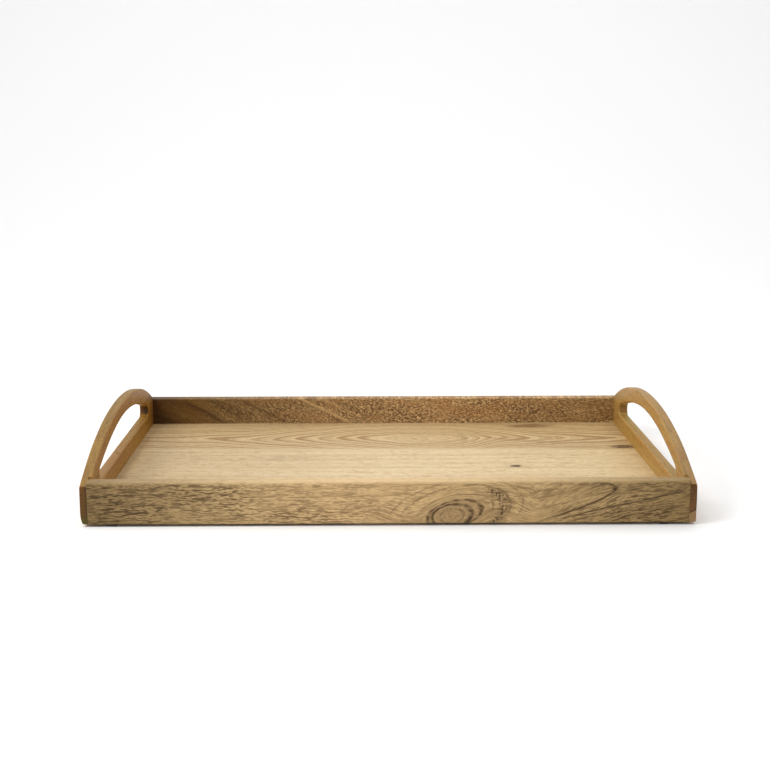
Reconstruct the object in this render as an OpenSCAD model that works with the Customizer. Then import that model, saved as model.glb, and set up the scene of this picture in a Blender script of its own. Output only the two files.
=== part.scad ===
// Wooden serving tray: two long walls let into rabbets in two arched end
// boards, a floor of three edge-glued planks held in grooves, blind dowels
// in the corners and four thin bumper feet.
// Units are millimetres. X runs along the tray, Y from front to back, Z up.
// The origin is on the standing surface, under the middle of the tray.

/* [Tray] */
// Overall length, over the outer faces of the end boards
tray_l = 500; // [420:5:600]
// Overall width, over the outer faces of the long walls
tray_w = 330; // [290:5:380]

/* [Long walls] */
// Height of the front and rear walls
wall_h = 35.5; // [33:0.5:38]
// Thickness of the front and rear walls
wall_t = 12; // [10:0.5:14]

/* [End boards] */
// Thickness of the end boards
end_t = 9; // [8:0.5:10]
// Thickness left outside the corner rabbet
lip_t = 6; // [5.5:0.1:7]
// Height of the arch at its crown
arch_h = 68; // [62:0.5:80]
// Height of the arch at the front and rear edges
arch_end = 32; // [30:0.5:34]
// How far the crown of the arch lies behind the middle of the board
arch_skew = 7; // [0:0.5:10]

/* [Handle opening] */
// Height of the flat lower edge of the opening
open_bottom = 24.3; // [20:0.1:26]
// Thickness of the hand grip over the middle of the opening
grip_h = 12.5; // [10:0.5:14]
// Radius of the rounded corners of the opening
open_r = 6; // [3:0.5:7]

/* [Floor] */
// Thickness of the floor planks
floor_t = 6; // [5:0.5:8]
// Height of the underside of the floor above the lower edge of the walls
floor_gap = 3; // [2.5:0.5:4]
// Depth of the groove that holds the floor
groove_d = 4; // [3:0.5:4.5]
// Distance from the front outer face to the first glue seam
seam_1 = 106; // [90:1:120]
// Distance from the front outer face to the second glue seam
seam_2 = 203.5; // [180:0.5:225]

/* [Corner dowels] */
// Diameter of a dowel
dowel_d = 5; // [4:0.5:6]
// Length of a dowel inside the long wall
dowel_in = 18; // [12:1:25]
// Length of a dowel inside the end board
dowel_out = 4; // [3:0.2:4.4]
// Height of the lower dowel above the lower edge of the wall
dowel_z1 = 15; // [14:0.5:17]
// Height of the upper dowel above the lower edge of the wall
dowel_z2 = 25.5; // [23:0.5:27]

/* [Feet] */
// Thickness of a bumper foot
foot_h = 2; // [1.5:0.5:4]
// Diameter of a bumper foot
foot_d = 9; // [6:0.5:9.5]
// Distance of a foot from the end of the tray
foot_in = 25; // [15:1:60]

/* [Hidden] */

half_l = tray_l / 2;
half_w = tray_w / 2;
inner_l = half_l - end_t;          // inner face of an end board
inner_w = half_w - wall_t;         // inner face of a long wall
rabbet_x = half_l - lip_t;         // end of a long wall, bottom of the rabbet
open_top = arch_h - grip_h;        // middle of the opening's upper edge
drop = arch_h - arch_end;
rise = open_top - open_bottom;
glue = 0.3;                        // room left for glue past a dowel's end
eps = 0.01;

// Upper edge of an end board, v from -1 at the front to 1 at the rear
function skewed(v) = v - arch_skew / half_w * (1 - v * v);
function arch_z(v) = let (u = skewed(v)) arch_h - drop * (0.82 * pow(u, 2) + 0.25 * pow(u, 4) - 0.07 * pow(u, 6));
// Upper edge of the opening, and its slope, at y from the middle
function open_z(y) = open_top - rise * (1.298 * pow(y / half_w, 2) - 0.224 * pow(y / half_w, 4));
function open_slope(y) = -rise * (2.596 * y / half_w - 0.896 * pow(y / half_w, 3)) / half_w;
// Place where a corner of the opening touches the upper edge
function corner_gap(y) = open_z(y) - open_r / sqrt(1 + pow(open_slope(y), 2)) - open_bottom - open_r;
function corner_y(lo, hi, n) = n == 0 ? (lo + hi) / 2 :
    corner_gap((lo + hi) / 2) < 0 ? corner_y((lo + hi) / 2, hi, n - 1) : corner_y(lo, (lo + hi) / 2, n - 1);

touch_y = corner_y(-half_w * 0.95, 0, 30);
touch_m = open_slope(touch_y);
corner_cy = touch_y + open_r * touch_m / sqrt(1 + touch_m * touch_m);
corner_a = atan2(1, -touch_m);

module end_outline() {
    n = 72;
    polygon(concat([[half_w, 0], [-half_w, 0]],
        [for (i = [0 : n]) let (v = -1 + 2 * i / n) [v * half_w, arch_z(v)]]));
}

module opening_outline() {
    n = 44;
    k = 12;
    left = [for (i = [0 : k]) let (a = 270 - (270 - corner_a) * i / k)
        [corner_cy + open_r * cos(a), open_bottom + open_r + open_r * sin(a)]];
    top = [for (i = [1 : n - 1]) let (y = touch_y * (1 - 2 * i / n)) [y, open_z(y)]];
    right = [for (i = [k : -1 : 0]) let (a = 270 - (270 - corner_a) * i / k)
        [-corner_cy - open_r * cos(a), open_bottom + open_r + open_r * sin(a)]];
    polygon(concat(left, top, right));
}

// Draws a shape given in the Y-Z plane as a board from x1 to x2
module board_x(x1, x2) {
    translate([x1, 0, 0]) rotate([90, 0, 90]) linear_extrude(height = x2 - x1) children();
}

// The two holes or dowels of the corner at +X, -Y
module dowel_pair(x1, x2) {
    for (z = [dowel_z1, dowel_z2])
        translate([x1, -half_w + wall_t / 2, z]) rotate([0, 90, 0])
            cylinder(d = dowel_d, h = x2 - x1, $fn = 48);
}

// The end board at +X
module end_board() {
    difference() {
        board_x(inner_l, half_l) end_outline();
        board_x(inner_l - 1, half_l + 1) opening_outline();
        // corner rabbets for the long walls
        for (s = [-1, 1])
            translate([inner_l - 1, s > 0 ? inner_w : -half_w - 1, -1])
                cube([rabbet_x - inner_l + 1, wall_t + 1, arch_h]);
        // groove for the floor, stopped inside the rabbets
        translate([inner_l - 1, -inner_w - groove_d, floor_gap])
            cube([groove_d + 1, 2 * (inner_w + groove_d), floor_t]);
        for (m = [0, 1]) mirror([0, m, 0]) dowel_pair(rabbet_x - 1, rabbet_x + dowel_out + glue);
    }
}

// The long wall at -Y
module long_wall() {
    difference() {
        translate([-rabbet_x, -half_w, 0]) cube([2 * rabbet_x, wall_t, wall_h]);
        // groove for the floor, run through from end to end
        translate([-rabbet_x - 1, -inner_w - groove_d, floor_gap])
            cube([2 * rabbet_x + 2, groove_d + 1, floor_t]);
        for (m = [0, 1]) mirror([m, 0, 0]) dowel_pair(rabbet_x - dowel_in - glue, rabbet_x + 1);
    }
}

// One plank of the floor, between two distances from the front outer face
module plank(y1, y2) {
    translate([-inner_l - groove_d, -half_w + y1, floor_gap])
        cube([2 * (inner_l + groove_d), y2 - y1, floor_t]);
}

module corner_dowels(sx, sy) {
    translate([0, 0, foot_h]) mirror([sx < 0 ? 1 : 0, 0, 0]) mirror([0, sy > 0 ? 1 : 0, 0])
        dowel_pair(rabbet_x - dowel_in, rabbet_x + dowel_out);
}

module foot(sx, sy) {
    translate([sx * (half_l - foot_in), sy * (half_w - wall_t / 2), 0])
        cylinder(d = foot_d, h = foot_h, $fn = 48);
}

module front_wall() { color("#8a7148") translate([0, 0, foot_h]) long_wall(); }
module rear_wall() { color("#7a5a38") translate([0, 0, foot_h]) mirror([0, 1, 0]) long_wall(); }
module left_handle_board() { color("#98744a") translate([0, 0, foot_h]) mirror([1, 0, 0]) end_board(); }
module right_handle_board() { color("#ab8148") translate([0, 0, foot_h]) end_board(); }
module floor_plank_front() { color("#d3b586") translate([0, 0, foot_h]) plank(wall_t - groove_d, seam_1); }
module floor_plank_middle() { color("#dcc093") translate([0, 0, foot_h]) plank(seam_1, seam_2); }
module floor_plank_rear() { color("#bd9a69") translate([0, 0, foot_h]) plank(seam_2, tray_w - wall_t + groove_d); }
module front_left_corner_dowels() { color("#c9ab7c") corner_dowels(-1, -1); }
module front_right_corner_dowels() { color("#c9ab7c") corner_dowels(1, -1); }
module rear_left_corner_dowels() { color("#c9ab7c") corner_dowels(-1, 1); }
module rear_right_corner_dowels() { color("#c9ab7c") corner_dowels(1, 1); }
module front_left_foot() { color("#2a241d") foot(-1, -1); }
module front_right_foot() { color("#2a241d") foot(1, -1); }
module rear_left_foot() { color("#2a241d") foot(-1, 1); }
module rear_right_foot() { color("#2a241d") foot(1, 1); }

front_wall();
rear_wall();
left_handle_board();
right_handle_board();
floor_plank_front();
floor_plank_middle();
floor_plank_rear();
front_left_corner_dowels();
front_right_corner_dowels();
rear_left_corner_dowels();
rear_right_corner_dowels();
front_left_foot();
front_right_foot();
rear_left_foot();
rear_right_foot();
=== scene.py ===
import math

import bmesh
import bpy
from mathutils import Matrix, Vector, noise
from mathutils.geometry import delaunay_2d_cdt


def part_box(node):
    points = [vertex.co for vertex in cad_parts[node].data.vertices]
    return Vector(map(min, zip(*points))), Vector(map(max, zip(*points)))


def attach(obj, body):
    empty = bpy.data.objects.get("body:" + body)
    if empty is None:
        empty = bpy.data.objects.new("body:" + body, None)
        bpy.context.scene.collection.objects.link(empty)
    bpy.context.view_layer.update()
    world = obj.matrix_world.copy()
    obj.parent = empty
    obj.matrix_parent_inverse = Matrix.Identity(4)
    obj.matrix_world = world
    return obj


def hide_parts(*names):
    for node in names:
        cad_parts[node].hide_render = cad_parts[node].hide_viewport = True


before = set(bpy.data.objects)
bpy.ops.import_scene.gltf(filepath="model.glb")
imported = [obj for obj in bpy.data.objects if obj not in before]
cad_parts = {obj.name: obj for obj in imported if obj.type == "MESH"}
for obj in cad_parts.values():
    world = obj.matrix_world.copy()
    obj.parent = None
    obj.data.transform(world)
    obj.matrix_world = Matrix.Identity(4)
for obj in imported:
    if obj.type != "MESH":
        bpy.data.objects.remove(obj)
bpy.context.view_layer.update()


# ---------------------------------------------------------------- node graphs


class Sock:
    """A scalar or vector socket that Python's arithmetic can be done on."""

    def __init__(self, g, out):
        self.g, self.out = g, out

    def __add__(self, o):
        return self.g.m("ADD", self, o)

    __radd__ = __add__

    def __sub__(self, o):
        return self.g.m("SUBTRACT", self, o)

    def __rsub__(self, o):
        return self.g.m("SUBTRACT", o, self)

    def __mul__(self, o):
        return self.g.m("MULTIPLY", self, o)

    __rmul__ = __mul__

    def __truediv__(self, o):
        return self.g.m("DIVIDE", self, o)

    def __neg__(self):
        return self.g.m("MULTIPLY", self, -1.0)


class Graph:
    def __init__(self, name):
        self.mat = bpy.data.materials.new(name)
        self.mat.use_nodes = True
        self.nt = self.mat.node_tree
        self.nt.nodes.clear()
        self.shader = self.nt.nodes.new("ShaderNodeBsdfPrincipled")
        out = self.nt.nodes.new("ShaderNodeOutputMaterial")
        self.nt.links.new(self.shader.outputs[0], out.inputs[0])
        tc = self.nt.nodes.new("ShaderNodeTexCoord")
        sep = self.nt.nodes.new("ShaderNodeSeparateXYZ")
        self.nt.links.new(tc.outputs["Object"], sep.inputs[0])
        # millimetres in the frame of the tray
        self.x = Sock(self, sep.outputs[0]) * 1000.0
        self.y = Sock(self, sep.outputs[1]) * 1000.0
        self.z = Sock(self, sep.outputs[2]) * 1000.0

    def put(self, socket, v):
        if isinstance(v, Sock):
            self.nt.links.new(v.out, socket)
        else:
            socket.default_value = v

    def m(self, op, *args, clamp=False):
        n = self.nt.nodes.new("ShaderNodeMath")
        n.operation = op
        n.use_clamp = clamp
        for i, a in enumerate(args):
            self.put(n.inputs[i], a)
        return Sock(self, n.outputs[0])

    def vec(self, x, y, z):
        n = self.nt.nodes.new("ShaderNodeCombineXYZ")
        for s, v in zip(n.inputs, (x, y, z)):
            self.put(s, v)
        return Sock(self, n.outputs[0])

    def noise(self, vec, scale=1.0, detail=2.0, rough=0.5, distortion=0.0):
        n = self.nt.nodes.new("ShaderNodeTexNoise")
        self.put(n.inputs["Vector"], vec)
        n.inputs["Scale"].default_value = scale
        n.inputs["Detail"].default_value = detail
        n.inputs["Roughness"].default_value = rough
        n.inputs["Distortion"].default_value = distortion
        return Sock(self, n.outputs[0])

    def voronoi(self, vec, randomness=1.0):
        """Distance to the nearest point, and that point's own random number."""
        n = self.nt.nodes.new("ShaderNodeTexVoronoi")
        self.put(n.inputs["Vector"], vec)
        n.inputs["Scale"].default_value = 1.0
        n.inputs["Randomness"].default_value = randomness
        sep = self.nt.nodes.new("ShaderNodeSeparateColor")
        self.nt.links.new(n.outputs["Color"], sep.inputs[0])
        return Sock(self, n.outputs["Distance"]), Sock(self, sep.outputs[0])

    def step(self, v, lo, hi, a=0.0, b=1.0):
        """Smooth rise from a at lo to b at hi."""
        n = self.nt.nodes.new("ShaderNodeMapRange")
        n.interpolation_type = "SMOOTHSTEP"
        self.put(n.inputs["Value"], v)
        n.inputs["From Min"].default_value = lo
        n.inputs["From Max"].default_value = hi
        n.inputs["To Min"].default_value = a
        n.inputs["To Max"].default_value = b
        return Sock(self, n.outputs[0])

    def line(self, v, lo, hi, a=0.0, b=1.0):
        n = self.nt.nodes.new("ShaderNodeMapRange")
        self.put(n.inputs["Value"], v)
        n.inputs["From Min"].default_value = lo
        n.inputs["From Max"].default_value = hi
        n.inputs["To Min"].default_value = a
        n.inputs["To Max"].default_value = b
        return Sock(self, n.outputs[0])

    def curve(self, v, pts):
        """Piecewise curve through (v, value) points, values from 0 to 1."""
        lo, hi = pts[0][0], pts[-1][0]
        n = self.nt.nodes.new("ShaderNodeFloatCurve")
        self.put(n.inputs["Value"], self.line(v, lo, hi))
        c = n.mapping.curves[0]
        while len(c.points) > 2:
            c.points.remove(c.points[1])
        c.points[0].location = (0.0, pts[0][1])
        c.points[1].location = (1.0, pts[-1][1])
        for p in pts[1:-1]:
            c.points.new((p[0] - lo) / (hi - lo), p[1])
        n.mapping.update()
        return Sock(self, n.outputs[0])

    def mix(self, f, a, b):
        """Colour mix. a and b are tuples or Socks."""
        n = self.nt.nodes.new("ShaderNodeMix")
        n.data_type = "RGBA"
        self.put(n.inputs[0], f)
        for s, v in ((n.inputs[6], a), (n.inputs[7], b)):
            if isinstance(v, Sock):
                self.nt.links.new(v.out, s)
            else:
                s.default_value = (*v, 1.0)
        return Sock(self, n.outputs[2])

    def scale_colour(self, col, f):
        n = self.nt.nodes.new("ShaderNodeMix")
        n.data_type = "RGBA"
        n.blend_type = "MULTIPLY"
        n.inputs[0].default_value = 1.0
        self.nt.links.new(col.out, n.inputs[6])
        c = self.nt.nodes.new("ShaderNodeCombineColor")
        for s in c.inputs[:3]:
            self.put(s, f)
        self.nt.links.new(c.outputs[0], n.inputs[7])
        return Sock(self, n.outputs[2])

    def tint(self, col, by):
        """Multiplies one colour by another."""
        n = self.nt.nodes.new("ShaderNodeMix")
        n.data_type = "RGBA"
        n.blend_type = "MULTIPLY"
        n.inputs[0].default_value = 1.0
        self.nt.links.new(col.out, n.inputs[6])
        self.nt.links.new(by.out, n.inputs[7])
        return Sock(self, n.outputs[2])

    def ramp(self, v, stops):
        """Colour that changes along v, through (v, r, g, b) stops."""
        lo, hi = stops[0][0], stops[-1][0]
        n = self.nt.nodes.new("ShaderNodeValToRGB")
        self.put(n.inputs[0], self.line(v, lo, hi))
        cr = n.color_ramp
        cr.interpolation = "LINEAR"
        cr.elements[0].position, cr.elements[0].color = 0.0, (*stops[0][1:], 1.0)
        cr.elements[1].position, cr.elements[1].color = 1.0, (*stops[-1][1:], 1.0)
        for st in stops[1:-1]:
            e = cr.elements.new((st[0] - lo) / (hi - lo))
            e.color = (*st[1:], 1.0)
        return Sock(self, n.outputs[0])

    def bump(self, height, strength, distance):
        n = self.nt.nodes.new("ShaderNodeBump")
        n.inputs["Strength"].default_value = strength
        n.inputs["Distance"].default_value = distance
        self.put(n.inputs["Height"], height)
        self.nt.links.new(n.outputs[0], self.shader.inputs["Normal"])

    def finish(self, colour, rough):
        self.put(self.shader.inputs["Base Color"], colour)
        self.put(self.shader.inputs["Roughness"], rough)
        return self.mat


def gauss(g, l, a, l0, a0, sl, sa, tilt=0.0):
    """A bump of height 1 at (l0, a0), with half-widths sl and sa."""
    dl, da = l - l0, a - a0
    if tilt:
        da = da - dl * tilt
    u, v = dl / sl, da / sa
    return g.m("EXPONENT", (u * u + v * v) * -1.0)


def stroke(g, l, a, pts, width, fade=5.0, fade_end=None):
    """A thin curved line through (l, a) points, 1 on the line and 0 away from it."""
    top = max(p[1] for p in pts) + 1.0
    low = min(p[1] for p in pts) - 1.0
    at = g.curve(l, [(p[0], (p[1] - low) / (top - low)) for p in pts]) * (top - low) + low
    wander = (g.noise(g.vec(l / 5.0, 3.3, 1.7), 1.0, 1.0, 0.5) - 0.5) * 1.1
    d = (a - at - wander) / width
    line = g.m("EXPONENT", d * d * -1.0)
    return line * g.step(l, pts[0][0] - 0.5, pts[0][0] + fade) * g.step(l, pts[-1][0] + 0.5, pts[-1][0] - (fade if fade_end is None else fade_end))


def tilted(g, l, a, l0, a0, sl, sa, angle):
    """Position in an ellipse's own axes and its elliptical radius, 1 on the outline."""
    ca, sn = math.cos(math.radians(angle)), math.sin(math.radians(angle))
    dl, da = l - l0, a - a0
    u = dl * ca + da * sn
    v = da * ca - dl * sn
    x, y = u / sl, v / sa
    return u, v, g.m("SQRT", x * x + y * y)


def around(g, v, e, floor_e=1.0):
    """Grain lines that part and flow round an ellipse, closing to rings inside it."""
    k = g.m("MAXIMUM", e, floor_e)
    return v - v / (k * k)


def wood(name, axes, seed, pale, dark, pore, tone_and_shade, rings, figure=None, extra=None, rough=0.5,
         pores=(9.0, 1.8, 0.53), pore_mix=0.5, pore_tone=None, streak=0.5, ring_mix=0.4, broad_mix=0.35,
         red=None, red_mix=0.0, end_colour=None, bump=0.35, slant=0.1, crisp=0.10, inner_end=1.0, rim_sheen=None):
    """Oiled wood. axes gives the object axes along the grain, across the face and through the face.

    rings is (spacing across the face, spacing through the face, waviness, tilt); figure bends the
    rings and returns the bent position across the grain; extra paints knots and single lines.
    """
    g = Graph(name)
    c = {"x": g.x, "y": g.y, "z": g.z}
    l, a, b = (c[k] for k in axes)
    s = seed * 17.31
    slow = g.noise(g.vec(l / 170.0 + s, a / 26.0, b / 26.0), 1.0, 2.0, 0.45) - 0.5
    mid = g.noise(g.vec(l / 34.0 + s, a / 7.0, b / 9.0), 1.0, 2.0, 0.5) - 0.5
    across = figure(g, l, a, b) if figure else a
    across = across + slow * (rings[2] * rings[0] * 3.0) + mid * (rings[2] * rings[0] * 0.55)
    f = across / rings[0] + b / rings[1] + l * rings[3] + s
    frac = g.m("FRACT", f)
    # each ring darkens slowly and ends sharply
    ring = g.step(frac, 0.25, 0.93) * g.step(frac, 1.0, 0.94)
    year = g.noise(g.vec(g.m("FLOOR", f) * 3.7, s, 0.5), 1.0, 0.0, 0.5)
    ring = ring * g.step(year, 0.3, 0.62, 0.35, 1.0)
    # fibres and broad streaks, following the rings
    fibre = g.noise(g.vec(l / 48.0 + s, across / 1.1, b / 1.1), 1.0, 3.0, 0.6)
    fine = g.noise(g.vec(l / 7.0 + s, across / 0.55, b / 0.55), 1.0, 2.0, 0.6)
    broad = g.noise(g.vec(l / 190.0 + s, across / 9.0, b / 12.0), 1.0, 3.0, 0.55)
    cloud = g.noise(g.vec(l / 46.0 + s, a / 20.0, b / 20.0), 1.0, 2.0, 0.55)
    # short open pores: the dark crests of a stretched noise
    pl, pw, cut = pores
    skew = l + across * slant
    p1 = g.noise(g.vec(skew / pl + s, across / pw, b / pw), 1.0, 1.0, 0.5)
    p2 = g.noise(g.vec(skew / (pl * 0.52) + s + 7.1, across / (pw * 0.62), b / (pw * 0.62)), 1.0, 0.0, 0.5)
    dash = g.m("MAXIMUM", g.step(p1, cut, cut + crisp), g.step(p2, cut + 0.03, cut + 0.03 + crisp) * 0.8)
    dash = dash * g.step(cloud, 0.30, 0.60, 0.55, 1.0)
    if pore_tone is not None:
        dash = dash * g.curve(l, pore_tone)
    light = g.step(p1, 0.44, 0.32)
    amount = ring * ring_mix + (g.step(fibre, 0.34, 0.70) - 0.35) * streak * 0.6 + (g.step(broad, 0.36, 0.64) - 0.25) * broad_mix
    amount = g.m("ADD", amount, 0.0, clamp=True)
    col = g.mix(amount, pale, dark)
    if red is not None:
        col = g.mix(g.step(g.noise(g.vec(l / 90.0 + s + 3.0, a / 11.0, b / 15.0), 1.0, 2.0, 0.5), 0.42, 0.62) * red_mix, col, red)
    col = g.mix(dash * pore_mix, col, pore)
    col = g.scale_colour(col, g.step(fine, 0.2, 0.8, 0.90, 1.09) + light * (0.10 * pore_mix))
    if extra is not None:
        col = extra(g, l, a, b, across, col)
    # tint along the grain: the wood's own colour drift together with painted shade towards the darker ends
    col = g.tint(col, g.ramp(l, tone_and_shade))
    if rim_sheen is not None:
        # painted sheen: the upper edge of the arch is tinted grey-green, standing for the reflection of the white
        # surroundings, with a mottled strength
        geo = g.nt.nodes.new("ShaderNodeNewGeometry")
        sep = g.nt.nodes.new("ShaderNodeSeparateXYZ")
        g.nt.links.new(geo.outputs["Normal"], sep.inputs[0])
        side = g.m("ABSOLUTE", Sock(g, sep.outputs[0]))
        edge = g.step(side, 0.85, 0.45) * g.step(Sock(g, sep.outputs[2]), 0.3, 0.6) * g.step(a, 28.0, 29.5)
        sheen_mottle = g.step(g.noise(g.vec(l / 30.0, a / 30.0, b / 5.0), 1.0, 2.0, 0.5), 0.3, 0.7, 0.90, 1.08)
        # painted sheen: up-facing faces under the arch are tinted grey-green
        up_face_sheen = g.step(side, 0.85, 0.45) * g.step(Sock(g, sep.outputs[2]), 0.5, 0.8) * g.step(a, 27.6, 26.8)
        col = g.mix(up_face_sheen, col, g.tint(col, g.ramp(l, [(-165, 0.76, 0.81, 0.70), (165, 0.76, 0.81, 0.70)])))
        col = g.mix(edge, col, g.scale_colour(g.tint(col, g.ramp(l, [(-165, *rim_sheen), (165, *rim_sheen)])), sheen_mottle))
    if end_colour is not None:
        # end grain at the two ends of the board, on the faces square to the grain
        e0, e1, paint = end_colour
        geo = g.nt.nodes.new("ShaderNodeNewGeometry")
        sep = g.nt.nodes.new("ShaderNodeSeparateXYZ")
        g.nt.links.new(geo.outputs["Normal"], sep.inputs[0])
        n = Sock(g, sep.outputs["xyz".index(axes[0])])
        reach = g.m("ABSOLUTE", l)
        facing = g.step(g.m("ABSOLUTE", n), 0.55, 0.85)
        facing = facing * g.m("MAXIMUM", g.step(reach, 158.0, 161.0), g.step(reach, 142.0, 138.0) * inner_end)
        speck = g.noise(g.vec(l / 4.0, a / 0.9, b / 0.9), 1.0, 3.0, 0.65)
        arcs = g.m("FRACT", a / 4.1 + b / 2.3 + (slow * 3.0))
        end = g.mix(g.step(speck, 0.35, 0.7) * 0.6 + g.step(arcs, 0.3, 1.0) * 0.4, e0, e1)
        if paint is not None:
            end = paint(g, l, a, b, end)
        end = g.tint(end, g.ramp(a - FOOT, TONE_AND_SHADE["end_right" if axes == "yzx" and seed == 4.0 else "end_left"]))
        col = g.mix(facing, col, end)
    height = dash * -1.0 + fibre * 0.35 + fine * 0.2
    g.bump(height, bump, 0.00035)
    r = dash * 0.14 + fibre * 0.14 + (rough - 0.07)
    g.shader.inputs["Specular IOR Level"].default_value = 0.22
    return g, g.finish(col, r)


# ---------------------------------------------------------------- mesh helpers

MM = 0.001


def wob(x, seed, size=60.0):
    """Slow noise from 0 to 1, the same on every run."""
    return 0.5 + 0.5 * noise.noise(Vector((x / size + seed * 7.7, seed * 3.1, 0.37)))


def add_object(name, bm, node, mat, angle=38.0, weighted=True):
    bmesh.ops.recalc_face_normals(bm, faces=bm.faces)
    me = bpy.data.meshes.new(name)
    bm.to_mesh(me)
    bm.free()
    for v in me.vertices:
        v.co *= MM
    me.materials.append(mat)
    ob = bpy.data.objects.new(name, me)
    bpy.context.scene.collection.objects.link(ob)
    me.polygons.foreach_set("use_smooth", [True] * len(me.polygons))
    me.set_sharp_from_angle(angle=math.radians(angle))
    if weighted:
        wn = ob.modifiers.new("weighted", "WEIGHTED_NORMAL")
        wn.keep_sharp = True
        wn.weight = 80
    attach(ob, "root")
    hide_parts(node)
    return ob


def round_profile(pts, k=5):
    """Rounds the corners of a closed outline of (u, v, radius) points."""
    out = []
    n = len(pts)
    for i in range(n):
        p0, p1, p2 = (Vector(pts[j][:2]) for j in ((i - 1) % n, i, (i + 1) % n))
        r = pts[i][2]
        d0, d1 = (p0 - p1).normalized(), (p2 - p1).normalized()
        if r <= 0:
            out.append(p1)
            continue
        t = min(r, 0.49 * (p0 - p1).length, 0.49 * (p2 - p1).length)
        for j in range(k + 1):
            q = j / k
            # a quarter ellipse from one side of the corner to the other
            c = p1 + d0 * t + d1 * t
            out.append(c - d1 * t * math.cos(q * math.pi / 2) - d0 * t * math.sin(q * math.pi / 2))
    return out


def loft(stations, close_ends=True):
    """stations: lists of 3D points, every one the same length."""
    bm = bmesh.new()
    rows = [[bm.verts.new(p) for p in s] for s in stations]
    n = len(rows[0])
    for r0, r1 in zip(rows, rows[1:]):
        for i in range(n):
            bm.faces.new((r0[i], r0[(i + 1) % n], r1[(i + 1) % n], r1[i]))
    if close_ends:
        bm.faces.new(rows[0])
        bm.faces.new(list(reversed(rows[-1])))
    return bm


def outline_normals(pts):
    n = len(pts)
    area = sum(pts[i][0] * pts[(i + 1) % n][1] - pts[(i + 1) % n][0] * pts[i][1] for i in range(n))
    sign = 1.0 if area > 0 else -1.0
    out = []
    for i in range(n):
        t = (Vector(pts[(i + 1) % n]) - Vector(pts[(i - 1) % n]))
        if t.length < 1e-9:
            t = Vector((1, 0))
        t.normalize()
        out.append(Vector((t.y, -t.x)) * sign)
    return out


# ---------------------------------------------------------------- dimensions, from the frame

TOL = 0.02
bx = {n: [[c * 1000.0 for c in p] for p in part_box(n)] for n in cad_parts}
FOOT = bx["front_wall"][0][2]
(W_X0, W_Y0, _), (W_X1, W_YI, W_ZT) = bx["front_wall"]
WALL_T = W_YI - W_Y0
WALL_H = W_ZT - FOOT
HALF_L = bx["right_handle_board"][1][0]
INNER_L = bx["right_handle_board"][0][0]
HALF_W = bx["right_handle_board"][1][1]
ARCH_H = bx["right_handle_board"][1][2] - FOOT
INNER_W = HALF_W - WALL_T
FLOOR_Z0 = bx["floor_plank_rear"][0][2]
FLOOR_Z1 = bx["floor_plank_rear"][1][2]
GROOVE = bx["floor_plank_rear"][1][1] - INNER_W

# ---------------------------------------------------------------- materials

# how each piece's colour and painted shade drift from end to end: (position along the grain, red, green, blue)
# partly the wood's own colour, partly painted shade: the dark ends of the walls, the dark left ends of the floor
# planks and the dark rear end of the left board stand for light falling off towards the ends and for the shadowed
# back-left corner
TONE_AND_SHADE = {
    "front": [(-250, 0.24, 0.20, 0.12), (-110, 0.60, 0.54, 0.42), (-40, 0.70, 0.62, 0.50), (110, 0.60, 0.53, 0.40), (250, 0.30, 0.25, 0.15)],
    "rear": [(-250, 0.06, 0.03, 0.01), (-200, 0.19, 0.14, 0.05), (-100, 0.54, 0.50, 0.37), (20, 0.78, 0.72, 0.58), (250, 0.62, 0.57, 0.40)],
    "plank_rear": [(-250, 0.55, 0.50, 0.40), (0, 0.65, 0.60, 0.50), (250, 0.62, 0.56, 0.42)],
    "plank_mid": [(-250, 0.48, 0.42, 0.32), (0, 0.71, 0.67, 0.58), (250, 0.66, 0.60, 0.46)],
    "left": [(-165, 0.62, 0.46, 0.22), (110, 0.55, 0.40, 0.08), (165, 0.30, 0.18, 0.08)],
    "right": [(-165, 0.55, 0.50, 0.33), (60, 0.60, 0.53, 0.25), (165, 0.52, 0.48, 0.30)],
    "end_left": [(0, 0.35, 0.40, 0.10), (36, 0.45, 0.35, 0.10)],
    "end_right": [(0, 0.60, 0.50, 0.35), (36, 0.28, 0.20, 0.04)],
}


def front_figure(g, l, a, b):
    """Straight grain at the left, an eye right of the middle, a flame rising to the right end."""
    h = a - FOOT
    u, v, e = tilted(g, l, h, 53.0, 8.0, 22.5, 11.0, 13.0)
    k = g.m("MAXIMUM", e, 1.0)
    far = g.step(e, 1.1, 3.2)
    rest = v * (1.0 - far) + (h - 8.0) * far - v / (k * k)
    inner = (1.0 - g.m("MINIMUM", e, 1.0)) * 16.0
    lift = g.m("MAXIMUM", l - 122.0, 0.0)
    bend = g.m("MAXIMUM", l - 188.0, 0.0)
    return rest + inner - lift * 0.30 + bend * 0.16 + l * 0.010


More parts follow.
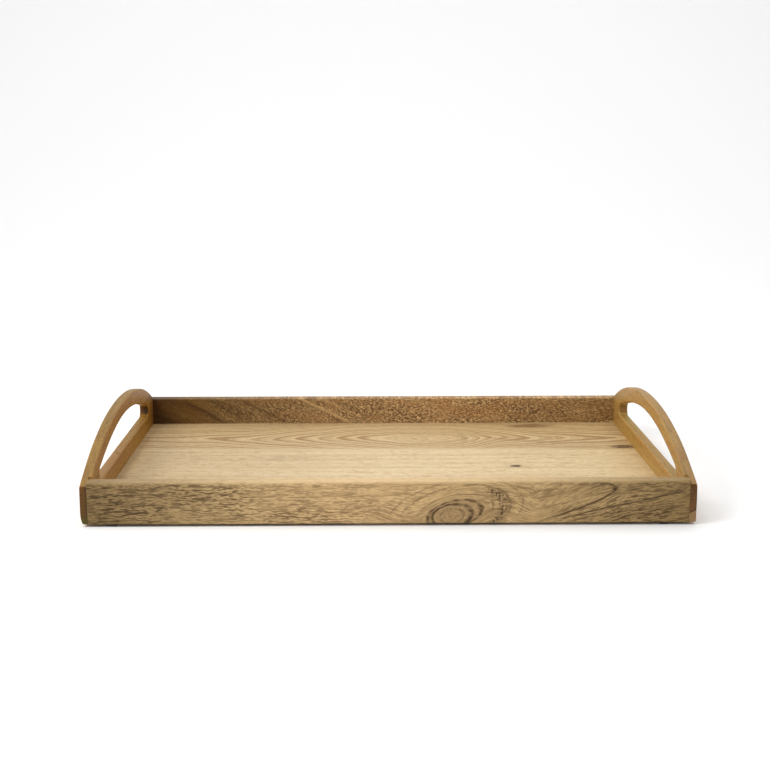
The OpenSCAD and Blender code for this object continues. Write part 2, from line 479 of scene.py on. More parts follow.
def front_extra(g, l, a, b, across, col):
    h = a - FOOT
    u, v, e = tilted(g, l, h, 53.0, 8.0, 22.5, 11.0, 13.0)
    wander = (g.noise(g.vec(l / 5.0, h / 5.0, 0.0), 1.0, 2.0, 0.55) - 0.5) * 0.13
    ew = e + wander
    q1 = (ew - 1.0) / 0.072
    _, _, e2 = tilted(g, l, h, 50.8, 6.2, 16.0, 9.8, 10.0)
    q2 = (e2 + wander - 1.0) / g.step(l, 40.0, 66.0, 0.075, 0.135)
    q3 = (ew - 0.86) / 0.030
    q4 = (e2 + wander - 0.62) / 0.060
    rings = g.m("MAXIMUM", g.m("EXPONENT", q1 * q1 * -1.0) * 0.92, g.m("EXPONENT", q2 * q2 * -1.0) * 1.0)
    rings = g.m("MAXIMUM", rings, g.m("EXPONENT", q3 * q3 * -1.0) * g.step(l, 52.0, 34.0) * 0.8)
    rings = g.m("MAXIMUM", rings, g.m("EXPONENT", q4 * q4 * -1.0) * 0.5)
    rings = rings * g.step(g.noise(g.vec(l / 7.0, h / 4.0, 4.0), 1.0, 1.0, 0.5), 0.34, 0.56, 0.5, 1.0)
    # outer bands that lie round the eye
    q5 = (ew - 1.42) / 0.05
    q6 = (ew - 2.05) / 0.055
    q7 = (ew - 2.5) / 0.05
    bands = g.m("MAXIMUM", g.m("EXPONENT", q5 * q5 * -1.0) * 0.40, g.m("MAXIMUM", g.m("EXPONENT", q6 * q6 * -1.0) * 0.55, g.m("EXPONENT", q7 * q7 * -1.0) * 0.4))
    bands = bands * g.step(g.noise(g.vec(l / 9.0, h / 6.0, 9.0), 1.0, 1.0, 0.5), 0.36, 0.58, 0.25, 1.0) * g.step(h, 4.0, 12.0)
    fleck = g.step(g.noise(g.vec(l / 2.1, h / 1.9, 2.0), 1.0, 1.0, 0.6), 0.46, 0.58)
    q8 = (e - 1.83) / 0.22
    crescent = g.m("EXPONENT", q8 * q8 * -1.0) * g.step(l, 74.0, 84.0) * (fleck * 0.70 + 0.30)
    core = g.step(e, 1.02, 0.9) * (fleck * 0.34 + 0.20)
    col = g.mix(core, col, (0.33, 0.225, 0.125))
    col = g.mix(g.step(e, 2.2, 0.9) * 0.20, col, (0.40, 0.27, 0.15))
    col = g.mix(g.m("MAXIMUM", rings, bands), col, (0.095, 0.052, 0.022))
    col = g.mix(crescent, col, (0.15, 0.095, 0.048))
    # the flame: a hooked dark line and two fainter ones under it
    s1 = stroke(g, l, h, [(116, 0.0), (124, 2.1), (143, 8.4), (165, 16.7), (180, 25.1), (185, 29.6)], 0.9, 30.0, 2.0) * 0.95
    s2 = stroke(g, l, h, [(163, 34.2), (172, 33.6), (179, 32.4), (185.5, 29.6)], 0.9, 5.0) * 0.85
    s3 = stroke(g, l, h, [(130, 0.5), (147, 5.4), (176, 12.5), (205, 18.7), (226, 23.5), (242, 26.9)], 0.8, 26.0, 6.0) * 0.74
    s4 = stroke(g, l, h, [(146, 0.8), (170, 6.5), (195, 10.0), (222, 12.0), (242, 13.5)], 0.7, 10.0) * 0.40
    s5 = stroke(g, l, h, [(186, 30.5), (205, 27.0), (222, 26.5), (242, 29.0)], 0.8, 8.0) * 0.40
    tip = gauss(g, l, h, 182.9, 28.6, 2.6, 2.4, 0.3)
    lines = g.m("MAXIMUM", g.m("MAXIMUM", s1, s2), g.m("MAXIMUM", s3, g.m("MAXIMUM", s4, g.m("MAXIMUM", s5, tip))))
    col = g.mix(lines, col, (0.095, 0.052, 0.022))
    # a light fibre crossing the grain left of the eye
    d1 = stroke(g, l, h, [(9, 20.0), (16, 11.5), (25, 0.5)], 0.9, 2.0) * 0.35
    col = g.mix(d1, col, (0.66, 0.48, 0.27))
    # painted highlight: a pale band along the top of the wall, where light from above falls on it
    rim_sheen = g.step(h, 32.6, 34.6) * 0.62
    return g.mix(rim_sheen, col, (1.0, 0.80, 0.53))


def rear_figure(g, l, a, b):
    h = a - FOOT
    run = g.m("MINIMUM", l, -20.0)
    back = g.m("MAXIMUM", l - 40.0, 0.0)
    wave = (g.noise(g.vec(l / 22.0, h / 12.0, 5.0), 1.0, 2.0, 0.5) - 0.5) * 9.0
    return h + run * 0.42 - back * 0.10 + wave


def rear_extra(g, l, a, b, across, col):
    h = a - FOOT
    fleck = g.step(g.noise(g.vec(l / 2.3, h / 1.5, 2.0), 1.0, 1.0, 0.6), 0.46, 0.54)
    col = g.mix(fleck * g.step(l, -215.0, -120.0, 0.12, 0.50), col, (0.144, 0.078, 0.033))
    warm = g.noise(g.vec(l / 46.0, h / 14.0, 6.0), 1.0, 2.0, 0.5)
    col = g.mix(g.step(warm, 0.42, 0.66) * 0.35, col, (0.57, 0.28, 0.12))
    d1 = stroke(g, l, h, [(-92, 37.5), (-62, 23.0), (-34, 9.0)], 1.3, 5.0) * 0.85
    d2 = stroke(g, l, h, [(-70, 36.0), (-50, 28.0), (-20, 14.0)], 0.9, 5.0) * 0.45
    col = g.mix(g.m("MAXIMUM", d1, d2), col, (0.95, 0.64, 0.37))
    k1 = stroke(g, l, h, [(-150, 34.0), (-130, 24.0), (-100, 10.0)], 1.8, 8.0) * 0.45
    k2 = stroke(g, l, h, [(-212, 34.0), (-194, 25.0), (-166, 9.0)], 2.4, 8.0) * 0.5
    k3 = stroke(g, l, h, [(-182, 34.0), (-165, 24.0), (-146, 12.0)], 1.4, 8.0) * 0.4
    return g.mix(g.m("MAXIMUM", k1, g.m("MAXIMUM", k2, k3)), col, (0.144, 0.072, 0.028))


def plank_rear_figure(g, l, a, b):
    """Nested arches: points to the left on the left half, to the right on the right half."""
    d = (a - 86.0 + (g.noise(g.vec(l / 80.0, 1.0, 1.0), 1.0, 1.0, 0.5) - 0.5) * 26.0) / 15.0
    rise = g.curve(l, [(-250, 0.02), (-170, 0.10), (-90, 0.42), (0, 0.88), (30, 0.97), (60, 0.90), (110, 0.52), (150, 0.30), (200, 0.16), (250, 0.06)]) * 9.0
    return (g.m("POWER", g.m("ABSOLUTE", d), 1.55) - rise) * 13.0


def plank_rear_extra(g, l, a, b, across, col):
    n1 = g.noise(g.vec(l / 16.0, a / 3.0, 0.0), 1.0, 2.0, 0.6)
    red = gauss(g, l, a, 152.0, 138.0, 24.0, 9.0, 0.10) * g.step(n1, 0.22, 0.50)
    col = g.mix(g.step(red, 0.12, 0.70) * 0.74, col, (0.235, 0.120, 0.050))
    brown = gauss(g, l, a, 232.0, 49.5, 13.0, 7.0) * g.step(g.noise(g.vec(l / 6.0, a / 2.6, 3.0), 1.0, 2.0, 0.6), 0.28, 0.52)
    col = g.mix(g.step(brown, 0.15, 0.60) * 0.92, col, (0.160, 0.100, 0.045))
    c2 = stroke(g, l, a, [(84, 128.0), (90, 112.0), (99, 94.0), (116, 82.0), (144, 73.0), (176, 66.0)], 3.6, 12.0) * 0.45
    c4 = stroke(g, l, a, [(-136, 78.0), (-118, 66.0), (-92, 60.0), (-60, 57.0)], 3.0, 9.0) * 0.35
    curves = g.m("MAXIMUM", c2, c4)
    col = g.mix(curves, col, (0.37, 0.225, 0.105))
    b2 = gauss(g, l, a, 178.0, 49.0, 22.0, 2.0) * 0.35 + gauss(g, l, a, 196.0, 66.0, 26.0, 2.5) * 0.35
    col = g.mix(b2, col, (0.30, 0.19, 0.09))
    pale = g.step(a, 50.0, 41.0) * g.step(l, 215.0, 150.0) * 0.55
    return g.mix(pale, col, (1.0, 0.86, 0.62))


def plank_mid_figure(g, l, a, b):
    u, v, e = tilted(g, l, a, 120.0, -21.0, 7.0, 5.0, 0.0)
    return around(g, v, e, 1.0)


def plank_mid_extra(g, l, a, b, across, col):
    knot = gauss(g, l, a, 119.0, -21.0, 5.5, 4.0)
    ring = gauss(g, l, a, 121.0, -21.0, 12.0, 8.0) * 0.35
    col = g.mix(ring, col, (0.42, 0.27, 0.13))
    col = g.mix(g.step(knot * g.step(g.noise(g.vec(l / 3.5, a / 3.0, 0.0), 1.0, 2.0, 0.6), 0.30, 0.65, 0.45, 1.25), 0.20, 0.62) * 0.92, col, (0.085, 0.045, 0.018))
    grey = gauss(g, l, a, -95.0, 12.0, 34.0, 9.0) * g.step(g.noise(g.vec(l / 12.0, a / 3.0, 0.0), 1.0, 2.0, 0.6), 0.36, 0.6)
    return g.mix(grey * 0.35, col, (0.34, 0.25, 0.15))


def right_end_paint(g, l, a, b, end):
    """A pale wedge of sapwood low on the front end of the right board, under a dark line."""
    h = a - FOOT
    at = (b - 244.0) * 0.53 + 8.2
    front = g.step(l, -150.0, -160.0)
    end = g.mix(g.step(h - at, 0.4, -0.4) * front * 0.9, end, (0.52, 0.38, 0.235))
    d = (h - at) / 0.60
    end = g.mix(g.m("EXPONENT", d * d * -1.0) * front * 0.95, end, (0.045, 0.025, 0.010))
    wave = (g.noise(g.vec(h / 9.0, b / 4.0, 2.0), 1.0, 2.0, 0.5) - 0.5) * 1.2
    return g.mix(g.step(b + wave, 248.7, 249.7) * g.step(h, 9.0, 12.0) * front * 0.85, end, (0.040, 0.028, 0.016))


def left_end_paint(g, l, a, b, end):
    """Red heartwood between two darker olive edges."""
    h = a - FOOT
    wave = (g.noise(g.vec(h / 9.0, b / 4.0, 2.0), 1.0, 2.0, 0.5) - 0.5) * 1.6
    end = g.mix(g.step(b + wave, -245.9, -244.5) * 0.72, end, (0.085, 0.062, 0.028))
    end = g.mix(g.step(b + wave, -248.6, -249.7) * 0.70, end, (0.060, 0.045, 0.020))
    return g.mix(g.step(h, 10.0, 3.0) * 0.8, end, (0.20, 0.160, 0.072))


def make_materials():
    mats = {}
    _, mats["front"] = wood(
        "wood_front_wall", "xzy", 1.0, (0.92, 0.70, 0.42), (0.54, 0.375, 0.20), (0.175, 0.108, 0.052),
        TONE_AND_SHADE["front"], (7.0, 30.0, 0.35, 0.0), figure=front_figure, extra=front_extra,
        pores=(8.5, 0.95, 0.51), slant=0.0, crisp=0.07, pore_mix=0.88, streak=0.55, ring_mix=0.22, broad_mix=0.25, rough=0.52,
        pore_tone=[(-250, 0.95), (-160, 1.0), (-80, 0.95), (-20, 0.62), (20, 0.45), (60, 0.45), (100, 0.62), (150, 0.72), (200, 0.95), (250, 0.95)])
    _, mats["rear"] = wood(
        "wood_rear_wall", "xzy", 2.0, (1.0, 0.70, 0.41), (0.45, 0.275, 0.131), (0.162, 0.090, 0.045),
        TONE_AND_SHADE["rear"], (8.5, 26.0, 0.45, 0.0), figure=rear_figure, extra=rear_extra,
        pores=(3.4, 1.7, 0.50), slant=0.5, crisp=0.06, pore_mix=0.80, streak=0.4, ring_mix=0.30, broad_mix=0.4, rough=0.5,
        pore_tone=[(-250, 0.3), (-190, 0.5), (-140, 0.9), (0, 1.0), (250, 1.0)])
    _, mats["left"] = wood(
        "wood_left_board", "yzx", 3.0, (0.70, 0.47, 0.235), (0.44, 0.265, 0.115), (0.22, 0.125, 0.055),
        TONE_AND_SHADE["left"], (11.0, 5.0, 0.5, 0.0008), pores=(9.0, 1.6, 0.57), pore_mix=0.30, streak=0.6, ring_mix=0.35,
        red=(0.56, 0.33, 0.18), red_mix=0.55, rough=0.46,
        # the rim colour is a painted grey-green sheen on the arch's upper edge
        rim_sheen=(0.62, 0.71, 0.62), end_colour=((0.36, 0.16, 0.075), (0.11, 0.046, 0.020), left_end_paint))
    _, mats["right"] = wood(
        "wood_right_board", "yzx", 4.0, (0.84, 0.56, 0.255), (0.58, 0.345, 0.135), (0.30, 0.17, 0.070),
        TONE_AND_SHADE["right"], (12.0, 5.5, 0.45, -0.0010), pores=(9.0, 1.6, 0.57), pore_mix=0.28, streak=0.55, ring_mix=0.35,
        red=(0.78, 0.43, 0.20), red_mix=0.5, rough=0.46, inner_end=0.45,
        # the rim colour is a painted bluish-grey sheen on the arch's upper edge
        rim_sheen=(0.71, 0.70, 0.78), end_colour=((0.38, 0.21, 0.085), (0.14, 0.075, 0.030), right_end_paint))
    _, mats["plank_rear"] = wood(
        "wood_plank_rear", "xyz", 5.0, (0.94, 0.75, 0.48), (0.53, 0.345, 0.17), (0.34, 0.22, 0.11),
        TONE_AND_SHADE["plank_rear"], (13.0, 5.0, 0.16, 0.0), figure=plank_rear_figure, extra=plank_rear_extra,
        pores=(9.0, 2.6, 0.55), pore_mix=0.34, streak=0.55, ring_mix=1.0, broad_mix=0.40, rough=0.42)
    _, mats["plank_mid"] = wood(
        "wood_plank_middle", "xyz", 6.0, (0.94, 0.77, 0.52), (0.68, 0.50, 0.29), (0.42, 0.29, 0.15),
        TONE_AND_SHADE["plank_mid"], (15.0, 5.0, 0.35, 0.0003), figure=plank_mid_figure, extra=plank_mid_extra,
        pores=(9.0, 3.0, 0.55), pore_mix=0.30, streak=0.55, ring_mix=0.30, broad_mix=0.35, rough=0.42)
    _, mats["plank_front"] = wood(
        "wood_plank_front", "xyz", 7.0, (0.92, 0.75, 0.50), (0.66, 0.47, 0.27), (0.40, 0.27, 0.14),
        TONE_AND_SHADE["plank_mid"], (12.0, 5.0, 0.4, -0.0004),
        pores=(9.0, 2.8, 0.55), pore_mix=0.32, streak=0.5, ring_mix=0.35, rough=0.42)
    _, mats["dowel"] = wood(
        "wood_dowel", "xyz", 8.0, (0.62, 0.46, 0.28), (0.50, 0.35, 0.19), (0.35, 0.23, 0.12),
        [(-250, 0.9, 0.9, 0.9), (250, 0.9, 0.9, 0.9)],
        (1.4, 1.6, 0.3, 0.0), pores=(3.0, 0.4, 0.55), pore_mix=0.3, streak=0.5, ring_mix=0.3, rough=0.6)
    g = Graph("foot_rubber")
    n1 = g.noise(g.vec(g.x, g.y, g.z), 1.3, 4.0, 0.6)
    n2 = g.noise(g.vec(g.x, g.y, g.z), 9.0, 2.0, 0.6)
    col = g.mix(g.step(n1, 0.3, 0.7), (0.016, 0.013, 0.010), (0.034, 0.028, 0.022))
    g.bump(n2, 0.3, 0.0001)
    mats["foot"] = g.finish(col, n1 * 0.2 + 0.6)
    return mats


mats = make_materials()

# ---------------------------------------------------------------- long walls


def long_wall(name, node, mat, side, seed):
    """side -1 is the front wall, 1 the rear wall."""
    xs = [W_X0, W_X0 + 0.12, W_X0 + 0.35, W_X0 + 0.8]
    n = 84
    xs += [W_X0 + 0.8 + (W_X1 - W_X0 - 1.6) * i / n for i in range(1, n)]
    xs += [W_X1 - 0.8, W_X1 - 0.35, W_X1 - 0.12, W_X1]
    inset = {0: 0.28, 1: 0.12, 2: 0.04, len(xs) - 3: 0.04, len(xs) - 2: 0.12, len(xs) - 1: 0.28}
    stations = []
    for i, x in enumerate(xs):
        top = WALL_H - (0.30 if side < 0 else 0.12) * wob(x, seed + 1, 90.0) * (1 - abs(x / W_X1) ** 8)
        out = 0.22 * wob(x, seed + 2, 110.0) * (1 - abs(x / W_X1) ** 8)
        r1 = (1.55 if side < 0 else 0.95) + 0.5 * (wob(x, seed + 3, 35.0) - 0.5)
        r2 = 1.35 + 0.5 * (wob(x, seed + 4, 28.0) - 0.5)
        rb = 1.1 + 0.3 * (wob(x, seed + 5, 40.0) - 0.5)
        g0, g1 = FLOOR_Z0 - FOOT, FLOOR_Z1 - FOOT
        # (distance in from the outer face, height)
        pts = [(out, 0, rb), (WALL_T, 0, 0.8), (WALL_T, g0, 0.0), (WALL_T - GROOVE, g0, 0.0),
               (WALL_T - GROOVE, g1, 0.0), (WALL_T, g1, 0.0), (WALL_T, top, r2), (out, top, r1)]
        prof = round_profile(pts)
        k = inset.get(i, 0.0)
        if k:
            nn = outline_normals([tuple(p) for p in prof])
            prof = [p - q * (k if (p.x < 2.2 or p.y > WALL_H - 2.2) else 0.0) for p, q in zip(prof, nn)]
        stations.append([(x, side * (HALF_W - p.x), FOOT + p.y) for p in prof])
    return add_object(name, loft(stations), node, mat)


long_wall("front_wall_board", "front_wall", mats["front"], -1, 11)
long_wall("rear_wall_board", "rear_wall", mats["rear"], 1, 23)

# ---------------------------------------------------------------- end boards

# the same outline rules as the design: an arch and an opening under it
ARCH_END = 32.0
ARCH_SKEW = 7.0
OPEN_TOP = ARCH_H - 12.5
OPEN_BOTTOM = 24.3
OPEN_R = 6.0
DROP = ARCH_H - ARCH_END
RISE = OPEN_TOP - OPEN_BOTTOM
END_T = HALF_L - INNER_L


def arch_z(y):
    v = y / HALF_W
    u = v - ARCH_SKEW / HALF_W * (1 - v * v)
    return ARCH_H - DROP * (0.82 * u ** 2 + 0.25 * u ** 4 - 0.07 * u ** 6)


def open_z(y):
    v = y / HALF_W
    return OPEN_TOP - RISE * (1.298 * v ** 2 - 0.224 * v ** 4)


def open_slope(y):
    v = y / HALF_W
    return -RISE * (2.596 * v - 0.896 * v ** 3) / HALF_W


def outer_loop():
    """Outline of the board in (y, z), counterclockwise seen from +X, with the radius of its arris."""
    pts = [(-HALF_W, 0.0, 1.6), (HALF_W, 0.0, 1.6)]
    n = 96
    ys = [HALF_W * (1 - 2 * i / n) for i in range(n + 1)]
    pts += [(y, arch_z(y), 2.6 if i in (0, n) else 0.0) for i, y in enumerate(ys)]
    return resample(round_profile(pts, 6), 3.6)


def open_loop():
    lo, hi = -HALF_W * 0.95, 0.0
    for _ in range(40):
        m = (lo + hi) / 2
        gap = open_z(m) - OPEN_R / math.sqrt(1 + open_slope(m) ** 2) - OPEN_BOTTOM - OPEN_R
        lo, hi = (m, hi) if gap < 0 else (lo, m)
    ty = (lo + hi) / 2
    tm = open_slope(ty)
    cy = ty + OPEN_R * tm / math.sqrt(1 + tm * tm)
    a1 = math.degrees(math.atan2(1, -tm))
    left = []
    for i in range(17):
        a = math.radians(270 - (270 - a1) * i / 16)
        left.append((cy + OPEN_R * math.cos(a), OPEN_BOTTOM + OPEN_R + OPEN_R * math.sin(a)))
    top = [(ty * (1 - 2 * i / 70), open_z(ty * (1 - 2 * i / 70))) for i in range(1, 70)]
    right = [(-p[0], p[1]) for p in reversed(left)]
    return resample([Vector(p) for p in reversed(left + top + right)], 3.2)


def resample(pts, longest):
    """Adds points on long straight runs so that arrises can vary along them."""
    out = []
    n = len(pts)
    for i in range(n):
        p, q = Vector(pts[i]), Vector(pts[(i + 1) % n])
        d = (q - p).length
        if d < 1e-6:
            continue
        k = max(1, int(math.ceil(d / longest)))
        out += [p.lerp(q, j / k) for j in range(k)]
    return out


def smooth_list(vals, times):
    n = len(vals)
    for _ in range(times):
        vals = [(vals[i - 1] + 2 * vals[i] + vals[(i + 1) % n]) / 4 for i in range(n)]
    return vals


def end_board(name, node, mat, side, seed):
    outer, hole = outer_loop(), open_loop()

    def radius(p, is_hole, outside):
        if is_hole:
            return 1.35 + 0.35 * (wob(p.x * 1.3, seed + 3, 40.0) - 0.5)
        if p.y < 2.5 and abs(p.x) < HALF_W - 3:
            return 0.9
        if abs(p.x) > HALF_W - 2.0 and p.y < ARCH_END - 3:
            return 1.0 if outside else 0.4
        return (1.9 if outside else 1.35) + 0.35 * (wob(p.x, seed + 1, 45.0) - 0.5)

    bm = bmesh.new()
    K = 6
    face_loops = {0: [], 1: []}
    for loop, is_hole in ((outer, False), (hole, True)):
        nn = outline_normals([tuple(p) for p in loop])
        if is_hole:
            nn = [-q for q in nn]      # outwards from the wood, into the opening
        n = len(loop)
        rings = []
        # from the inner face over the arris, along the edge, over the arris to the outer face
        for s in (0, 1):
            rad = smooth_list([radius(p, is_hole, s == 1) for p in loop], 3)
            part = []
            for k in range(K + 1):
                phi = math.radians(90.0 * k / K)
                row = []
                for p, q, r in zip(loop, nn, rad):
                    d = r * (1 - math.cos(phi))
                    x = r * (1 - math.sin(phi))
                    xx = INNER_L + x if s == 0 else HALF_L - x
                    c = p - q * d
                    row.append((xx, c.x, c.y))
                part.append(row)
            rings += list(reversed(part)) if s == 0 else part
        rows = [[bm.verts.new(p) for p in r] for r in rings]
        for r0, r1 in zip(rows, rows[1:]):
            for i in range(n):
                bm.faces.new((r0[i], r0[(i + 1) % n], r1[(i + 1) % n], r1[i]))
        face_loops[0].append(rows[0])
        face_loops[1].append(rows[-1])
    for s in (0, 1):
        verts, edges = [], []
        for vl in face_loops[s]:
            base = len(verts)
            verts += vl
            edges += [(base + i, base + (i + 1) % len(vl)) for i in range(len(vl))]
        co = [Vector((v.co.y, v.co.z)) for v in verts]
        res = delaunay_2d_cdt(co, edges, [], 0, 1e-5)
        nv, _, nf, orig = res[0], res[1], res[2], res[3]
        index = {}
        for i, o in enumerate(orig):
            index[i] = verts[o[0]] if o else None
        hole_pts = [Vector((v.co.y, v.co.z)) for v in face_loops[s][1]]
        outer_pts = [Vector((v.co.y, v.co.z)) for v in face_loops[s][0]]
        for tri in nf:
            cen = sum((nv[i] for i in tri), Vector((0, 0))) / 3.0
            if inside(cen, outer_pts) and not inside(cen, hole_pts):
                vs = [index[i] for i in tri]
                if None not in vs and len(set(vs)) == 3:
                    try:
                        bm.faces.new(vs)
                    except ValueError:
                        pass
    bmesh.ops.recalc_face_normals(bm, faces=bm.faces)
    me = bpy.data.meshes.new(name + "_raw")
    bm.to_mesh(me)
    bm.free()
    raw = bpy.data.objects.new(name + "_raw", me)
    bpy.context.scene.collection.objects.link(raw)
    # rabbets for the long walls and the stopped groove for the floor
    cut = []
    lip_x = W_X1
    cut.append(((INNER_L - 3, -HALF_W - 3, -3), (lip_x, -INNER_W, 90)))
    cut.append(((INNER_L - 3, INNER_W, -3), (lip_x, HALF_W + 3, 90)))
    cut.append(((INNER_L - 3, -INNER_W - GROOVE, FLOOR_Z0 - FOOT), (INNER_L + GROOVE, INNER_W + GROOVE, FLOOR_Z1 - FOOT)))
    for (a, b) in cut:
        cm = bpy.data.meshes.new("cutter")
        cb = bmesh.new()
        bmesh.ops.create_cube(cb, size=1.0)
        for v in cb.verts:
            v.co = Vector([(a[i] + b[i]) / 2 + v.co[i] * (b[i] - a[i]) for i in range(3)])
        cb.to_mesh(cm)
        cb.free()
        co_ = bpy.data.objects.new("cutter", cm)
        bpy.context.scene.collection.objects.link(co_)
        mod = raw.modifiers.new("cut", "BOOLEAN")
        mod.operation = "DIFFERENCE"
        mod.solver = "EXACT"
        mod.object = co_
        dg = bpy.context.evaluated_depsgraph_get()
        ev = raw.evaluated_get(dg)
        new = bpy.data.meshes.new_from_object(ev)
        raw.modifiers.clear()
        raw.data = new
        bpy.data.objects.remove(co_)
    bm = bmesh.new()
    bm.from_mesh(raw.data)
    bpy.data.objects.remove(raw)
    bmesh.ops.remove_doubles(bm, verts=bm.verts, dist=1e-4)
    for v in bm.verts:
        x, y, z = v.co
        t = (x - INNER_L) / END_T
        if side < 0 and z < 9.0:
            u = (9.0 - z) / 9.0
            x -= 2.8 * (1 - math.sqrt(max(0.0, 1 - u * u))) * max(0.0, t) ** 1.5
        # hand-sanded faces, never proud of the board's own thickness
        x -= 0.22 * t * wob(y + z * 0.7, seed + 6, 55.0) * (1.0 if t > 0.8 else 0.0)
        v.co = Vector((side * x, y, z + FOOT))
    return add_object(name, bm, node, mat, angle=34.0)


def inside(p, poly):
    c = False
    n = len(poly)
    j = n - 1
    for i in range(n):
        a, b = poly[i], poly[j]
        if (a.y > p.y) != (b.y > p.y) and p.x < (b.x - a.x) * (p.y - a.y) / (b.y - a.y) + a.x:
            c = not c
        j = i
    return c


end_board("left_handle_end_board", "left_handle_board", mats["left"], -1, 31)
end_board("right_handle_end_board", "right_handle_board", mats["right"], 1, 43)

# ---------------------------------------------------------------- floor planks


def plank(name, node, mat, seed):
    (x0, y0, z0), (x1, y1, z1) = bx[node]
    n = 70
    xs = [x0 + (x1 - x0) * i / n for i in range(n + 1)]
    ym = [y0 + (y1 - y0) * j / 12 for j in range(1, 12)]
    stations = []
    for x in xs:
        def dip(y, k):
            t = min(1.0, (y - y0) / 6.0, (y1 - y) / 6.0)
            return 0.10 * max(0.0, t) * (0.5 + 0.5 * noise.noise(Vector((x / 70.0, y / 22.0, seed + k))))
        c = 0.12
        row = [(x, y0 + c, z0), *[(x, y, z0 + dip(y, 9)) for y in ym], (x, y1 - c, z0), (x, y1, z0 + c),
               (x, y1, z1 - c), (x, y1 - c, z1), *[(x, y, z1 - dip(y, 0)) for y in reversed(ym)], (x, y0 + c, z1),
               (x, y0, z1 - c), (x, y0, z0 + c)]
        stations.append(row)
    return add_object(name, loft(stations), node, mat, angle=30.0)


plank("front_floor_board", "floor_plank_front", mats["plank_front"], 3.0)
plank("middle_floor_board", "floor_plank_middle", mats["plank_mid"], 5.0)
plank("rear_floor_board", "floor_plank_rear", mats["plank_rear"], 8.0)

# ---------------------------------------------------------------- dowels and feet


def dowels(name, node):
    """Two fluted dowels with chamfered ends, in the space of the design's pins."""
    (x0, y0, z0), (x1, y1, z1) = bx[node]
    r = (y1 - y0) / 2
    cy = (y0 + y1) / 2
    bm = bmesh.new()
    for cz in (z0 + r, z1 - r):
        rows = []
        for x, q in ((x0, 0.78), (x0 + 0.7, 0.97), (x0 + 1.0, 1.0), (x1 - 1.0, 1.0), (x1 - 0.7, 0.97), (x1, 0.78)):
            row = []
            for i in range(64):
                a = 2 * math.pi * i / 64
                f = 1.0 - 0.07 * max(0.0, math.cos(16 * a)) * (1.0 if q > 0.9 else 0.0)
                row.append(bm.verts.new((x, cy + r * q * f * math.cos(a), cz + r * q * f * math.sin(a))))
            rows.append(row)
        for r0, r1 in zip(rows, rows[1:]):
            for i in range(64):
                bm.faces.new((r0[i], r0[(i + 1) % 64], r1[(i + 1) % 64], r1[i]))
        bm.faces.new(rows[0])
        bm.faces.new(list(reversed(rows[-1])))
    return add_object(name, bm, node, mats["dowel"], angle=30.0)


def foot(name, node):
    """A round bumper with a domed lower edge and a slightly rounded top edge."""
    (x0, y0, z0), (x1, y1, z1) = bx[node]
    r = (x1 - x0) / 2
    cx, cy = (x0 + x1) / 2, (y0 + y1) / 2
    h = z1 - z0
    prof = [(0.55, 0.0), (0.80, 0.01), (0.90, 0.05), (0.96, 0.14), (0.99, 0.28), (1.0, 0.5), (1.0, 0.86), (0.985, 0.95), (0.96, 1.0)]
    bm = bmesh.new()
    rows = [[bm.verts.new((cx + r * q * math.cos(2 * math.pi * i / 48), cy + r * q * math.sin(2 * math.pi * i / 48), z0 + h * t))
             for i in range(48)] for q, t in prof]
    for r0, r1 in zip(rows, rows[1:]):
        for i in range(48):
            bm.faces.new((r0[i], r0[(i + 1) % 48], r1[(i + 1) % 48], r1[i]))
    c0 = bm.verts.new((cx, cy, z0 + 0.12 * h))
    for i in range(48):
        bm.faces.new((rows[0][(i + 1) % 48], rows[0][i], c0))
    bm.faces.new(rows[-1])
    return add_object(name, bm, node, mats["foot"], angle=40.0)


for fb in ("front", "rear"):
    for lr in ("left", "right"):
        dowels(f"{fb}_{lr}_dowel_pair", f"{fb}_{lr}_corner_dowels")
        foot(f"{fb}_{lr}_bumper_foot", f"{fb}_{lr}_foot")

# ---------------------------------------------------------------- stage, light and camera


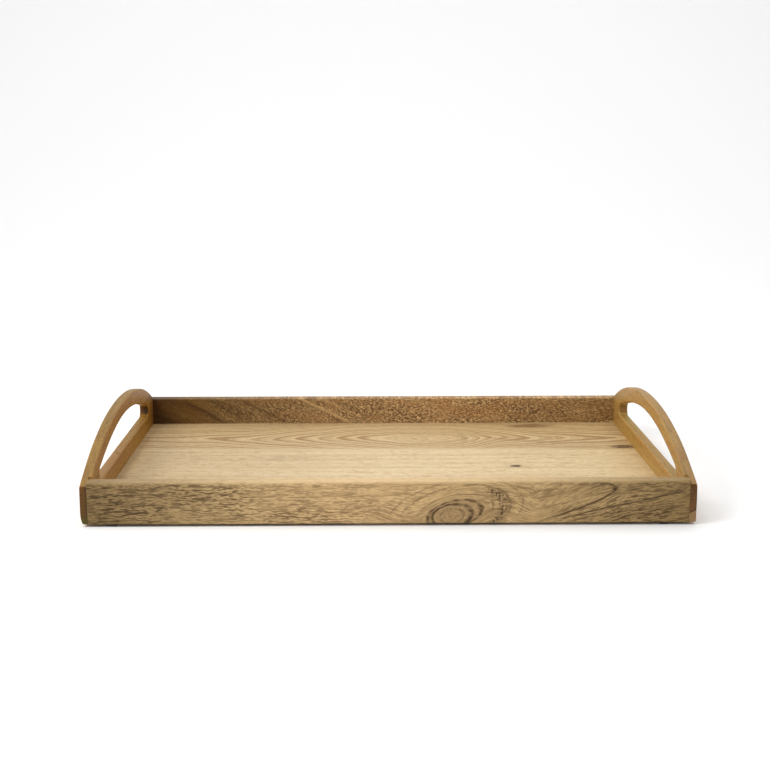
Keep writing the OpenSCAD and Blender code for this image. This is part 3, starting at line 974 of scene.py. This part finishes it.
def stage():
    bm = bmesh.new()
    prof = [(-3.2, 0.0), (-1.0, 0.0), (0.0, 0.0), (1.2, 0.0)]
    R = 1.0
    for i in range(1, 17):
        a = math.radians(90.0 * i / 16)
        prof.append((1.2 + R * math.sin(a), R - R * math.cos(a)))
    prof.append((1.2 + R, 4.0))
    rows = [[bm.verts.new((x, y, z)) for (y, z) in prof] for x in (-4.0, 4.0)]
    for i in range(len(prof) - 1):
        bm.faces.new((rows[0][i], rows[1][i], rows[1][i + 1], rows[0][i + 1]))
    me = bpy.data.meshes.new("studio_sweep")
    bm.to_mesh(me)
    bm.free()
    for p in me.polygons:
        p.use_smooth = True
    ob = bpy.data.objects.new("studio_sweep", me)
    bpy.context.scene.collection.objects.link(ob)
    m = bpy.data.materials.new("studio_paper")
    m.use_nodes = True
    b = m.node_tree.nodes["Principled BSDF"]
    b.inputs["Base Color"].default_value = (0.90, 0.90, 0.90, 1.0)
    b.inputs["Roughness"].default_value = 0.9
    b.inputs["Specular IOR Level"].default_value = 0.1
    me.materials.append(m)


stage()

world = bpy.data.worlds.new("studio")
world.use_nodes = True
world.node_tree.nodes["Background"].inputs[0].default_value = (1.0, 1.0, 1.0, 1.0)
world.node_tree.nodes["Background"].inputs[1].default_value = 0.60
bpy.context.scene.world = world


def area(name, loc, target, size, watts, colour=(1.0, 1.0, 1.0)):
    d = bpy.data.lights.new(name, "AREA")
    d.shape = "SQUARE"
    d.size = size
    d.energy = watts
    d.color = colour
    o = bpy.data.objects.new(name, d)
    o.location = loc
    o.rotation_euler = (Vector(target) - Vector(loc)).to_track_quat("-Z", "Y").to_euler()
    bpy.context.scene.collection.objects.link(o)
    return o


area("top_soft", (0.0, 0.6, 2.6), (0.0, 0.3, 0.0), 3.2, 43.5)
area("key_soft", (-0.75, -0.55, 0.95), (0.0, -0.02, 0.0), 0.5, 7.5)

cam_d = bpy.data.cameras.new("camera")
cam = bpy.data.objects.new("camera", cam_d)
bpy.context.scene.collection.objects.link(cam)
F_PX, PITCH, YAW = 1303.78, 0.20283 - 0.000383, -0.0150 + 0.000383
cam_d.sensor_width = 36.0
cam_d.lens = F_PX / 770.0 * 36.0
cam_d.clip_start = 0.01
cam_d.clip_end = 50.0
rz = Matrix.Rotation(YAW, 3, "Z")
right = rz @ Vector((1, 0, 0))
up = rz @ Vector((0, math.sin(PITCH), math.cos(PITCH)))
fwd = rz @ Vector((0, math.cos(PITCH), -math.sin(PITCH)))
cam.matrix_world = Matrix((
    (right.x, up.x, -fwd.x, -0.018308),
    (right.y, up.y, -fwd.y, -1.013668 - 0.165),
    (right.z, up.z, -fwd.z, 0.322999 + 0.002),
    (0, 0, 0, 1)))
bpy.context.scene.camera = cam
bpy.context.scene.view_settings.view_transform = "Standard"
bpy.context.scene.view_settings.look = "None"
